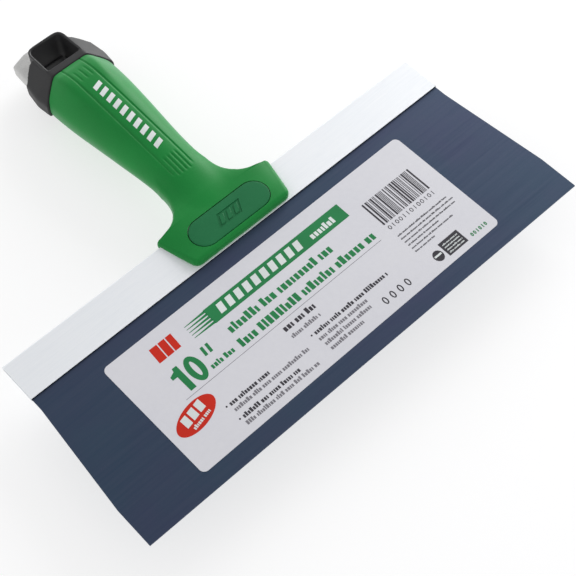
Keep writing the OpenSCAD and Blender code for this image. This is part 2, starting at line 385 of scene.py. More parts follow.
def srgb(r, g, b):
    """A screen colour, 0 to 255, as the linear one that shaders take."""
    def lin(v):
        v /= 255
        return v / 12.92 if v <= 0.04045 else ((v + 0.055) / 1.055) ** 2.4
    return (lin(r), lin(g), lin(b))


def shades(colour, low, high):
    """Ramp stops from a darker to a lighter shade of one colour."""
    return [(NOISE_LOW, tuple(c * low for c in colour)), (NOISE_HIGH, tuple(c * high for c in colour))]


def blued_steel():
    m = Nodes("blued_steel")
    film = m.noise(14, detail=4, stretch=(1, 1, 0))
    colour = m.ramp(film, [(0.28, srgb(62, 66, 99)), (0.45, srgb(57, 70, 96)),
                           (0.6, srgb(53, 73, 96)), (0.75, srgb(50, 76, 96))])
    lines = m.noise(260, detail=5, rough=0.7, stretch=(0.06, 3.2, 0))
    colour = m.mixed(m.spread(lines, 0.0, 0.35), colour, srgb(70, 78, 98))
    m.colour(colour)
    m.set(Metallic=0.55)
    m.rough(m.spread(lines, 0.34, 0.5))
    m.bump((lines, 0.00002))
    return m.material


def bar_sheet():
    m = Nodes("bar_sheet")
    grain = m.noise(700, detail=4, rough=0.7, stretch=(0.1, 2.4, 1))
    cloud = m.noise(30, detail=3)
    colour = m.mixed(m.spread(grain, 0.0, 0.5), srgb(246, 249, 252), srgb(232, 237, 242))
    m.colour(m.mixed(m.spread(cloud, 0.0, 0.4), colour, srgb(250, 251, 253)))
    m.set(Metallic=0.15)
    m.rough(m.spread(grain, 0.42, 0.6))
    m.bump((grain, 0.00002))
    return m.material


def bare_metal(name, colour, rough):
    m = Nodes(name)
    grain = m.noise(900, detail=4)
    m.colour(m.ramp(grain, shades(colour, 0.82, 1.12)))
    m.set(Metallic=1.0)
    m.rough(m.spread(grain, rough - 0.06, rough + 0.1))
    m.bump((grain, 0.00002))
    return m.material


def cast_metal():
    m = Nodes("cast_metal")
    cloud = m.noise(160, detail=4)
    fine = m.noise(1500, detail=3)
    colour = m.ramp(cloud, shades(srgb(205, 205, 203), 0.86, 1.1))
    m.colour(m.mixed(m.spread(fine, 0.0, 0.35), colour, srgb(160, 160, 160)))
    m.set(Metallic=0.5)
    m.rough(m.spread(cloud, 0.48, 0.62))
    m.bump((cloud, 0.00012), (fine, 0.00003))
    return m.material


def black_plastic():
    m = Nodes("black_plastic")
    fine = m.noise(2200, detail=2)
    cloud = m.noise(60, detail=3)
    colour = m.ramp(cloud, shades(srgb(42, 42, 43), 0.85, 1.15))
    m.colour(m.mixed(m.spread(fine, 0.0, 0.3), colour, srgb(54, 54, 56)))
    m.set(Specular_IOR_Level=0.38)
    m.rough(m.spread(cloud, 0.42, 0.54))
    m.bump((fine, 0.00003))
    return m.material


def soft_rubber(name, colour, sheen):
    m = Nodes(name)
    fine = m.noise(2600, detail=2)
    cloud = m.noise(45, detail=3)
    base = m.ramp(cloud, shades(colour, 0.93, 1.08))
    speck = tuple(min(1.0, c * 1.5 + 0.01) for c in colour)
    m.colour(m.mixed(m.spread(fine, 0.0, 0.22), base, speck))
    m.set(Specular_IOR_Level=0.16, Sheen_Weight=sheen, Sheen_Roughness=0.35)
    m.set(Sheen_Tint=(0.75, 1.0, 0.85, 1.0))
    m.rough(m.spread(cloud, 0.42, 0.52))
    m.bump((cloud, 0.00006), (fine, 0.00003))
    return m.material


def film():
    m = Nodes("label_film")
    fibre = m.noise(420, detail=4)
    cloud = m.noise(26, detail=3)
    colour = m.mixed(m.spread(fibre, 0.0, 0.3), srgb(225, 225, 231), srgb(213, 213, 220))
    m.colour(m.mixed(m.spread(cloud, 0.0, 0.35), colour, srgb(231, 230, 233)))
    m.rough(m.spread(cloud, 0.38, 0.5))
    m.bump((cloud, 0.00006))
    return m.material


def ink(name, colour):
    m = Nodes("ink_" + name)
    dots = m.noise(1800, detail=2)
    cloud = m.noise(50, detail=2)
    base = m.ramp(cloud, shades(colour, 0.93, 1.07))
    dot = tuple(min(1.0, c * 1.2 + 0.004) for c in colour)
    m.colour(m.mixed(m.spread(dots, 0.0, 0.18), base, dot))
    m.set(Specular_IOR_Level=0.2)
    m.rough(m.spread(dots, 0.4, 0.5))
    return m.material


BLUED = blued_steel()
BAR = bar_sheet()
# The bar's cut front edge: bare sheet edge, coloured much darker than the sheet so that it also carries
# painted shadow, the dark shadow line under the lip
CUT_EDGE_AND_SHADOW = bare_metal("cut_edge_and_painted_shadow", srgb(52, 54, 62), 0.5)
RIVET = bare_metal("rivet_steel", srgb(200, 200, 196), 0.35)
CAST = cast_metal()
BLACK = black_plastic()
GREEN = soft_rubber("green_rubber", srgb(22, 128, 55), 0.5)
INSET = soft_rubber("inset_plastic", srgb(30, 110, 66), 0.05)
FILM = film()
INK_GREEN = ink("green", srgb(40, 130, 76))
INK_RED = ink("red", srgb(206, 44, 26))
INK_DARK = ink("dark", srgb(62, 60, 66))
INK_GREY = ink("grey", srgb(128, 126, 132))
INK_WHITE = ink("white", srgb(226, 232, 230))

# ---------------------------------------------------------------------------------------------
# Carried-over CAD nodes keep their shape and get better materials
# ---------------------------------------------------------------------------------------------
for node, material in (("blade", BLUED), ("saddle_rivets", RIVET), ("label", FILM)):
    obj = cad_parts[node]
    obj.data.materials.clear()
    obj.data.materials.append(material)

# ---------------------------------------------------------------------------------------------
# Backing bar: one sheet folded double round the back of the blade
# ---------------------------------------------------------------------------------------------
def back_bar():
    half, inner = BLADE_T / 2 + BAR_T, BLADE_T / 2
    back = BAR_Y + BAR_D
    crest = half + LIP_H
    upper = [(BAR_Y, inner + CLEAR), (BAR_Y, crest - LIP_SOFT)]
    for degrees in (30, 60, 90):
        a = math.radians(degrees)
        upper.append((BAR_Y + LIP_SOFT * (1 - math.cos(a)), crest - LIP_SOFT + LIP_SOFT * math.sin(a)))
    upper += [(BAR_Y + d, half + LIP_H * share) for d, share in LIP_SLOPE]
    bend = [(back - half + half * math.sin(math.radians(a)), half * math.cos(math.radians(a)))
            for a in range(0, 181, 12)]
    lower = [(y, -z) for y, z in reversed(upper)]
    slot_end = back - FOLD_BEHIND - inner
    inside = [(slot_end + inner * math.sin(math.radians(a)), -inner * math.cos(math.radians(a)))
              for a in range(0, 181, 30)]
    outline = upper + bend + lower + inside

    bm = bmesh.new()
    rings = []
    end, shoulder = BAR_L / 2, BAR_L / 2 - BAR_END_SOFT
    for x, shrink in ((-end, BAR_END_SOFT), (-shoulder, 0.0), (shoulder, 0.0), (end, BAR_END_SOFT)):
        rings.append([bm.verts.new((x, y, z - math.copysign(shrink, z) if abs(z) > inner + 0.2 else z))
                      for y, z in outline])
    bridge(bm, rings)
    bmesh.ops.triangulate(bm, faces=[f for f in bm.faces if len(f.verts) > 4])
    # the lip's front face gets the dark cut-edge material, partly the sheet's own edge and partly painted
    # shadow under the lip
    for face in bm.faces:
        if all(v.co.y < BAR_Y + 0.01 for v in face.verts):
            face.material_index = 1
    bar = mesh_object("folded_bar", bm, "bar_sheet", ["back_bar"], BAR, 28)
    bar.data.materials.append(CUT_EDGE_AND_SHADOW)


back_bar()

# ---------------------------------------------------------------------------------------------
# Soft grip: rings of points round the handle's axis, closed at both ends, then cut for the bar,
# the two covers and the collar
# ---------------------------------------------------------------------------------------------
BODY_TABLE = np.array(BODY, float)


def body_at(u, column):
    """Smooth curve through one column of the body's stations."""
    us = BODY_TABLE[:, 0]
    vs = BODY_TABLE[:, column]
    i = int(np.clip(np.searchsorted(us, u, side="right") - 1, 0, len(us) - 2))

    def slope(k):
        a, b = max(k - 1, 0), min(k + 1, len(us) - 1)
        return (vs[b] - vs[a]) / (us[b] - us[a])
    d = us[i + 1] - us[i]
    t = (u - us[i]) / d
    return (vs[i] * (1 + 2 * t) * (1 - t) ** 2 + slope(i) * d * t * (1 - t) ** 2
            + vs[i + 1] * t * t * (3 - 2 * t) + slope(i + 1) * d * t * t * (t - 1))


def squared(u):
    """How far the section has turned from an oval into the seam's octagon."""
    first, then = step_up(u, *FIRST_SQUARED), step_up(u, THEN_SQUARED, SEAM_TOP_U)
    return FIRST_SHARE * first + (1 - FIRST_SHARE) * then


def octagon_radius(cx, cz, s):
    """Distance from the axis to an octagon with slightly rounded corners, in the direction (cx, cz)."""
    c, n = np.abs(cx), np.abs(cz)
    dx, dy = s[2] - s[0], s[1] - s[3]
    sides = (s[1] / np.maximum(n, 1e-6), s[2] / np.maximum(c, 1e-6),
             (s[0] * dy + s[1] * dx) / np.maximum(c * dy + n * dx, 1e-6))
    return sum(side ** -24.0 for side in sides) ** (-1 / 24)


def body_radius(u, cx, cz):
    """Distance from the axis to the handle's own section, in the direction (cx, cz)."""
    w, h, p = (body_at(u, k) for k in (1, 2, 3))
    oval = (np.abs(cx / w) ** p + np.abs(cz / h) ** p) ** (-1 / p)
    s = (SEAM[0] * w / SEAM[2], h, w, SEAM[3] * h / SEAM[1])
    k = squared(u)
    return oval * (1 - k) + octagon_radius(cx, cz, s) * k


def web_half_width(y):
    """Half width of the saddle, and of the webs that sweep from its tips into the neck."""
    d = y - SADDLE_Y
    t = min(max(d / (SADDLE_TIP_Y - SADDLE_Y), 0), TIP_REACH)
    flare = (SADDLE_W + (SADDLE_TIP_W - SADDLE_W) * t ** TIP_POWER) / 2
    if d < SADDLE_CORNER:
        flare -= SADDLE_CORNER - math.sqrt(max(SADDLE_CORNER ** 2 - (SADDLE_CORNER - d) ** 2, 0))
    v = (SWEEP_Y - y) / SWEEP_B
    if v <= 0:
        return SWEEP_X - SWEEP_A - SWEEP_SLOPE_IN * (y - SWEEP_Y)
    if v >= 1:
        sweep = SWEEP_X + SWEEP_SLOPE_OUT * (v - 1) * SWEEP_B
    else:
        sweep = SWEEP_X - SWEEP_A * (1 - v ** SWEEP_POWER) ** (1 / SWEEP_POWER)
    return soft_min((flare, sweep), TIP_ROUND)


def web_half_height(y):
    """Half thickness of the saddle and webs, rounded at the saddle's front edge."""
    d = y - SADDLE_Y
    if d >= SADDLE_FILLET:
        return SADDLE_H
    return SADDLE_H - SADDLE_FILLET + math.sqrt(max(SADDLE_FILLET ** 2 - (SADDLE_FILLET - d) ** 2, 0))


def web_outline(w, h):
    """The upper half of a rounded, slightly crowned bar's section, as points from +X to -X."""
    r = min(SADDLE_FILLET, h * 0.6)
    edge = h - SADDLE_CROWN - TIP_DROP * smooth((w - SADDLE_W / 2) / (SADDLE_TIP_W - SADDLE_W) * 2)
    pts = [(w, z) for z in np.linspace(0, edge - r, 12, endpoint=False)]
    pts += [(w - r + r * math.cos(a), edge - r + r * math.sin(a)) for a in np.linspace(0, math.pi / 2, 14)]
    flat = np.linspace(w - r, 0, 160)[1:]
    pts += [(x, h - (h - edge) * (x / (w - r)) ** 6) for x in flat]
    right = np.array(pts)
    left = right[::-1][1:] * np.array([-1, 1])
    return np.vstack([right, left])


# The top is meshed in even lines along the handle, which hold the grooves, and the rest in even steps
TOP_LIMIT, TOP_STEP = 8.0, 0.25
TOP_POINTS = int(round(2 * TOP_LIMIT / TOP_STEP)) + 1
SIDE_POINTS, BACK_POINTS = 44, 96


def section(u):
    """Points of the upper half, from +X over the top to -X, and of the lower half back to +X."""
    y = NECK_Y + u
    w, h = web_half_width(y), web_half_height(y)
    if w > WEB_LEAST_W:
        web = web_outline(w, h)
        angles = np.arctan2(web[:, 1], web[:, 0])
    else:
        web, angles = None, np.array([])
    sweep = np.linspace(0, math.pi, 721)
    stretched = np.arctan2(np.sin(sweep) * body_at(u, 2), np.cos(sweep) * body_at(u, 1))
    every = np.unique(np.concatenate([angles, sweep, stretched]))
    cx, cz = np.cos(every), np.sin(every)
    r_body = body_radius(u, cx, cz)
    if web is None:
        r = r_body
    else:
        # the larger of web and body, with a fillet between them, fading into the body past the webs
        r_web = np.interp(every, angles, np.hypot(web[:, 0], web[:, 1]))
        near = np.maximum(WEB_FILLET - np.abs(r_body - r_web), 0)
        r = np.maximum(r_body, r_web) + near ** 2 / (4 * WEB_FILLET) * step_up(u, *FILLET_GROWS)
        fade = step_up(u, *WEBS_FADE)
        r = r * (1 - fade) + r_body * fade
    x, z = r * cx, r * cz
    if u < WIDTH_FADES[1]:
        # the fillet doesn't widen the outline seen from above
        want = w if y < SWEEP_Y else body_at(u, 1)
        x = x * (1 + (want / x.max() - 1) * (1 - step_up(u, *WIDTH_FADES)))
    half = np.column_stack([x, z])
    order = np.argsort(half[:, 0])
    top_x = np.arange(TOP_LIMIT, -TOP_LIMIT - 1e-6, -TOP_STEP)
    top_z = np.interp(top_x, half[order, 0], half[order, 1])
    right = half[half[:, 0] > TOP_LIMIT]
    right = np.vstack([right, [TOP_LIMIT, top_z[0]]])
    length = np.concatenate([[0], np.cumsum(np.hypot(*np.diff(right, axis=0).T))])
    at = np.linspace(0, length[-1], SIDE_POINTS + 1)[:-1]
    side = np.column_stack([np.interp(at, length, right[:, 0]), np.interp(at, length, right[:, 1])])
    upper = np.vstack([side, np.column_stack([top_x, top_z]), side[::-1] * np.array([-1, 1])])
    whole = np.concatenate([[0], np.cumsum(np.hypot(*np.diff(half, axis=0).T))])
    at = np.linspace(0, whole[-1], BACK_POINTS + 2)[1:-1]
    lower = np.column_stack([np.interp(at, whole, half[:, 0]), -np.interp(at, whole, half[:, 1])])[::-1]
    return np.vstack([upper, lower])


def bumped(t, width):
    """A rounded groove's depth, from 1 at its middle to 0 at its edges."""
    return max(0.0, 1 - (t / width) ** 2) ** 1.5


# Grooves in the grip's top: where each lies across it, and its two ends along it
LONG_GROOVES = [(-5.5, 13.5, 97.5), (5.7, 13.5, 98.0)]
NECK_GROOVES = [(x, 12.2, 25.0) for x in (-3.3, -1.1, 1.1, 3.3)]
SEAM_GROOVES = [(x, 83.5, 92.5) for x in (-2.9, 0.2, 3.2)]
GROOVE_DEEP, GROOVE_SHALLOW = 0.42, 0.3
LONG_HALF_W, LONG_RUN_OUT, LONG_END = 0.8, 3, 2
SHORT_HALF_W, SHORT_RUN_OUT = 0.75, 1.6


def groove_depth(x, u):
    depth = 0.0
    for gx, a, b in LONG_GROOVES:
        ends = smooth((u - a) / LONG_RUN_OUT) * smooth((b - u) / LONG_END + 1)
        depth = max(depth, GROOVE_DEEP * bumped(x - gx, LONG_HALF_W) * ends)
    for grooves, deep in ((NECK_GROOVES, GROOVE_DEEP), (SEAM_GROOVES, GROOVE_SHALLOW)):
        for gx, a, b in grooves:
            ends = smooth((u - a) / SHORT_RUN_OUT) * smooth((b - u) / SHORT_RUN_OUT)
            depth = max(depth, deep * bumped(x - gx, SHORT_HALF_W) * ends)
    return depth


def side_sag(x, u):
    """How far the neck's sides hang below the middle of the section."""
    along = step_up(u, *SAG_GROWS) * (1 - step_up(u, *SAG_FADES))
    return SIDE_SAG * along * min((x / SAG_X) ** 2, SAG_MOST)


def grip_rings():
    """Where the rings lie: close together at the front edge, round the tips and along the neck."""
    start = SADDLE_Y - NECK_Y
    us = [start + d for d in (0, 0.04, 0.12, 0.25, 0.42, 0.62, 0.86, 1.2, 1.6, 2.1, 2.6)]
    us += list(np.arange(start + 3.4, -6.2, 0.8))
    us += list(np.arange(-6.0, -2.0, 0.2))
    us += list(np.arange(-2.0, 18.0, 0.5))
    us += list(np.arange(18.0, GRIP_END_U - 2.2, 0.8))
    us += list(np.linspace(GRIP_END_U - 2, GRIP_END_U, 5))
    return us


def build_grip():
    bm = bmesh.new()
    rings = []
    for u in grip_rings():
        ring = []
        for i, (x, n) in enumerate(section(u)):
            if SIDE_POINTS <= i < SIDE_POINTS + TOP_POINTS:
                n -= groove_depth(x, u)
            ring.append(bm.verts.new(in_handle(x, u, n - side_sag(x, u))))
        rings.append(ring)
    bridge(bm, rings)
    grip = mesh_object("soft_overmould", bm, angle=40)

    # room for the bar, the covers and the collar
    cut = bmesh.new()
    half = BLADE_T / 2 + BAR_T + CLEAR
    front, back = BAR_Y - FAR, BAR_Y + BAR_D
    prism(cut, [(-FAR, front), (FAR, front), (FAR, back), (-FAR, back)], -half, half)
    outline = racetrack(COVER_L + 2 * COVER_GAP, COVER_W + 2 * COVER_GAP, (0, COVER_Y))
    for side in (1, -1):
        low, high = sorted((side * JAW_H, side * FAR))
        prism(cut, outline, low, high)
    boolean(grip, mesh_object("grip_cutter", cut))
    seam, flare, end = [tuple(v + SEAM_GAP for v in s[:4]) + (s[4],) for s in (SEAM, FLARE, COLLAR_END)]
    boolean(grip, mesh_object("seam_cutter", hull(
        corners(seam, SEAM_TOP_U - SEAM_GAP, SEAM_SIDE_U - SEAM_GAP)
        + corners(flare, FLARE_U - SEAM_GAP, FLARE_U - SEAM_GAP)
        + corners(end, COLLAR_END_U, COLLAR_END_U))))
    shade(grip, 40)
    grip.data.materials.append(GREEN)
    settle(grip, ["soft_grip"])
    return grip


grip = build_grip()

# ---------------------------------------------------------------------------------------------
# Covers: racetrack plates with a soft edge, and a plain sunk device in the middle
# ---------------------------------------------------------------------------------------------
def cover(name, node, side):
    bm = bmesh.new()
    levels = [(0.0, JAW_H), (0.0, SADDLE_H - COVER_SOFT)]
    for degrees in (25, 50, 75, 90):
        a = math.radians(degrees)
        levels.append((COVER_SOFT * (1 - math.cos(a)), SADDLE_H - COVER_SOFT * (1 - math.sin(a))))
    levels += [(inset, SADDLE_H + crown) for inset, crown in COVER_CROWN]
    rings = []
    for inset, z in levels:
        rings.append([bm.verts.new((x, y, side * z))
                      for x, y in racetrack(COVER_L - 2 * inset, COVER_W - 2 * inset, (0, COVER_Y))])
    bridge(bm, rings)
    plate = mesh_object(name, bm, "cover_plastic", [node], INSET)
    cut = bmesh.new()
    low, high = sorted((side * (SADDLE_H - DEVICE_SUNK), side * FAR))
    prism(cut, slanted(0, DEVICE_W, DEVICE_H), low, high)
    boolean(plate, mesh_object("device_cutter", cut))
    shade(plate, 35)


def slanted(x, half_w, half_h):
    """A slanted bar in plan, in the middle of the cover."""
    lean = half_h * 0.5
    return [(x - half_w - lean, COVER_Y - half_h), (x + half_w - lean, COVER_Y - half_h),
            (x + half_w + lean, COVER_Y + half_h), (x - half_w + lean, COVER_Y + half_h)]


def device(name, side):
    """A plain device: three slanted ribs standing in a sunk field."""
    bm = bmesh.new()
    for i in (-1, 0, 1):
        rib = slanted(i * RIB_PITCH, RIB_W, RIB_H)
        prism(bm, rib, side * (SADDLE_H - RIB_LOW), side * (SADDLE_H + RIB_HIGH))
    bmesh.ops.recalc_face_normals(bm, faces=bm.faces)
    bmesh.ops.bevel(bm, geom=[e for e in bm.edges], offset=RIB_SOFT, segments=3, affect="EDGES")
    mesh_object(name, bm, "cover_plastic", (), INSET, 50)


cover("front_cover_plate", "front_cover", 1)
device("front_cover_ribs", 1)
cover("back_cover_plate", "back_cover", -1)
device("back_cover_ribs", -1)

# ---------------------------------------------------------------------------------------------
# Rigid core: collar and hang-hole frame in one moulding, with the spine and the jaws inside
# ---------------------------------------------------------------------------------------------
def wedge(section_at, top_u, side_u):
    """Everything beyond a joint that lies further along the handle on the flats than on the sides."""
    reach = 30.0
    flat, side, rise = section_at[1], section_at[3], section_at[4]
    slope = (top_u - side_u) / (flat - side)
    s = (FAR, reach, FAR, side, rise)
    return hull(corners(s, side_u + slope * (reach - side), side_u) + corners(s, FAR_U, FAR_U))


def frame_outline(inset=0.0):
    """The hang hole's frame in plan, or with an inset of HOLE_RIM the hole itself."""
    half = HOLE_W / 2 + HOLE_RIM - inset
    front = HOLE_U - HOLE_L / 2 - HOLE_RIM + inset
    back = HOLE_U + HOLE_L / 2 + HOLE_RIM - inset
    return [(half, front), (half - HOLE_TAPER, back), (-half + HOLE_TAPER, back), (-half, front)]


def rounded_outline(points, radii, steps=6):
    """The outline with its corners rounded, the first and last ones and the middle two alike."""
    out = []
    count = len(points)
    for i, p in enumerate(points):
        p = Vector(p)
        radius = radii[i in (1, 2)]
        a = (Vector(points[i - 1]) - p).normalized() * radius
        b = (Vector(points[(i + 1) % count]) - p).normalized() * radius
        for k in range(steps + 1):
            t = k / steps
            q = p + a * (1 - t) ** 2 + b * t ** 2
            out.append((q.x, q.y))
    return out


COARSE, FINE = 0.4, 0.22    # voxels


def rounded_by_voxels(obj, size, iterations):
    """Merges an object's solids and rounds every edge by remeshing and smoothing."""
    remesh = obj.modifiers.new("remesh", "REMESH")
    remesh.mode = "VOXEL"
    remesh.voxel_size = size * MM
    soften = obj.modifiers.new("soften", "SMOOTH")
    soften.factor = 0.5
    soften.iterations = iterations
    apply_modifiers(obj)


def frame_prism(inset, radii, low, high, place=in_handle):
    bm = bmesh.new()
    prism(bm, rounded_outline(frame_outline(inset), radii), low, high, place)
    return bm


def flared(x, u, n):
    """A point of the hang hole's mouth, further out from its middle the higher it lies."""
    grow = 1 + (n - FRAME_H + MOUTH_DEEP) / MOUTH_DEEP * MOUTH_WIDE / (HOLE_W / 2)
    return in_handle(x * grow, HOLE_U + (u - HOLE_U) * grow, n)


def build_collar():
    collar = mesh_object("collar", hull(
        corners(SEAM, SEAM_TOP_U - SEAM_LEAD, SEAM_SIDE_U - SEAM_LEAD)
        + corners(FLARE, FLARE_U, FLARE_U)
        + corners(COLLAR_END, COLLAR_END_U, COLLAR_END_U, 0.0, COLLAR_LOW)))
    rounded_by_voxels(collar, COARSE, 45)
    boolean(collar, mesh_object("seam_wedge", wedge(SEAM, SEAM_TOP_U, SEAM_SIDE_U)), "INTERSECT")
    boolean(collar, mesh_object("cap_wedge", wedge(COLLAR_END, CAP_TOP_U, CAP_SIDE_U)))
    beyond = [in_handle(x, u, n) for x in (-FAR, FAR) for u in (LIP_U, FAR_U) for n in (-FAR, FAR)]
    boolean(collar, mesh_object("lip_cutter", hull(beyond)))

    boolean(collar, mesh_object("frame_tube", frame_prism(0.0, FRAME_ROUND, -FRAME_H, FRAME_H)), "UNION")
    boolean(collar, mesh_object("hole_cutter", frame_prism(HOLE_RIM, HOLE_ROUND, LEDGE_N, FAR)))
    ledge = bmesh.new()
    prism(ledge, frame_outline(HOLE_RIM + HOLE_LEDGE), -FAR, FAR, in_handle)
    boolean(collar, mesh_object("ledge_cutter", ledge))
    boolean(collar, mesh_object("mouth_cutter", frame_prism(
        HOLE_RIM, HOLE_ROUND, FRAME_H - MOUTH_DEEP, FRAME_H + MOUTH_DEEP, flared)))

    rounded_by_voxels(collar, FINE, 7)
    return collar


def inner_core():
    """The jaws and the spine, copied from the CAD core up to where the collar starts."""
    bm = bmesh.new()
    bm.from_mesh(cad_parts["handle_core"].data)
    bmesh.ops.remove_doubles(bm, verts=bm.verts, dist=1e-6)
    cut = [c * MM for c in in_handle(0, CORE_END_U, 0)]
    normal = (0, math.cos(LEAN), -math.sin(LEAN))
    geom = list(bm.verts) + list(bm.edges) + list(bm.faces)
    bmesh.ops.bisect_plane(bm, geom=geom, plane_co=cut, plane_no=normal, clear_outer=True)
    bmesh.ops.holes_fill(bm, edges=[e for e in bm.edges if e.is_boundary])
    mesh = bpy.data.meshes.new("inner_core")
    bm.to_mesh(mesh)
    bm.free()
    return mesh


def build_core():
    core = build_collar()
    bm = bmesh.new()
    bm.from_mesh(core.data)
    bm.from_mesh(inner_core())
    bm.to_mesh(core.data)
    bm.free()
    core.name = "core_moulding"
    core.data.materials.clear()
    core.data.materials.append(BLACK)
    shade(core, 60)
    settle(core, ["handle_core"])


build_core()

# ---------------------------------------------------------------------------------------------
# Hammer cap: cut out round the hole's frame, with its near end hidden inside the collar
# ---------------------------------------------------------------------------------------------
def build_cap():
    start = CAP_SIDE_U - CAP_INSIDE
    cap = mesh_object("struck_cap", hull(
        corners(CAP_START, start, start, CAP_DROP) + corners(CAP_FACE, FACE_U, FACE_U, CAP_DROP)))
    rounded_by_voxels(cap, COARSE, 40)
    boolean(cap, mesh_object("cap_cutter", frame_prism(CAP_GAP, CAP_ROUND, -FAR, FAR)))
    cap.data.materials.clear()
    cap.data.materials.append(CAST)
    shade(cap, 40)
    settle(cap, ["hammer_cap"])


build_cap()

# ---------------------------------------------------------------------------------------------
# Print on the label: bands, rules, plain blocks, noughts and ones, and the size. Coordinates are
# millimetres from the label's middle.
# ---------------------------------------------------------------------------------------------
PRINT_T, PRINT_SUNK = 0.03, 0.01
BADGE, BADGE_TURN = (-73.9, -11.0), math.radians(13)
BAND_L, BAND_R, BAND_LOW, BAND_TOP, STRIPES, STRIPES_L = -38.5, 42.8, 16.6, 25.4, 5, -50.0
CODE_L, CODE_R, CODE_LOW, CODE_TOP = 50.4, 80.6, 2.0, 16.8


def on_label(x, y, z):
    c, s = math.cos(LABEL_TURN), math.sin(LABEL_TURN)
    return (LABEL_CENTRE[0] + x * c - y * s, LABEL_CENTRE[1] + x * s + y * c, LABEL_TOP + z)


class Print:
    """One ink's printed shapes, gathered into one piece."""

    def __init__(self, name, material, level=0):
        self.name, self.material = name, material
        self.bm = bmesh.new()
        self.low, self.high = level * PRINT_T - PRINT_SUNK, (level + 1) * PRINT_T
        self.turn, self.pivot = 0.0, (0.0, 0.0)

    def shape(self, outline):
        c, s = math.cos(self.turn), math.sin(self.turn)
        px, py = self.pivot
        turned = [(px + (x - px) * c - (y - py) * s, py + (x - px) * s + (y - py) * c) for x, y in outline]
        prism(self.bm, turned, self.low, self.high, on_label)

    def bar(self, x0, x1, y0, y1, slant=0.0):
        self.shape([(x0, y0), (x1, y0), (x1 + slant, y1), (x0 + slant, y1)])

    def ring(self, cx, cy, rx, ry, t, steps=48):
        """An oval ring of stroke t."""
        angles = np.linspace(0, 2 * math.pi, steps + 1)
        outer = [(cx + rx * math.cos(a), cy + ry * math.sin(a)) for a in angles]
        inner = [(cx + (rx - t) * math.cos(a), cy + (ry - t) * math.sin(a)) for a in angles]
        for i in range(steps):
            self.shape([outer[i], outer[i + 1], inner[i + 1], inner[i]])

    def oval(self, cx, cy, rx, ry, steps=64):
        angles = [2 * math.pi * i / steps for i in range(steps)]
        self.shape([(cx + rx * math.cos(a), cy + ry * math.sin(a)) for a in angles])

    def words(self, x0, x1, y, height, seed):
        """A greeked line of text: words of plain blocks, one block to a letter, on a common foot."""
        rng = random.Random(seed)
        letter_gap, word_gap = 0.16, 0.34
        x, foot = x0, y - height / 2
        while x < x1 - height * 0.4:
            for _ in range(rng.randint(3, 9)):
                width = height * rng.choice((0.3, 0.42, 0.42, 0.5))
                if x + width > x1:
                    break
                self.bar(x, x + width, foot, foot + height * rng.choice((0.72, 0.72, 0.72, 1.0)))
                x += width + letter_gap * height
            x += word_gap * height

    def digits(self, x0, pitch, y, height, stroke, pattern):
        """A row of plain noughts and ones."""
        for i, digit in enumerate(pattern):
            x = x0 + (i + 0.5) * pitch
            if digit:
                self.bar(x - stroke / 2, x + stroke / 2, y - height / 2, y + height / 2)
            else:
                self.ring(x, y, pitch * 0.36, height / 2, stroke, 20)

    def done(self):
        mesh_object(self.name, self.bm, "label_film", (), self.material)


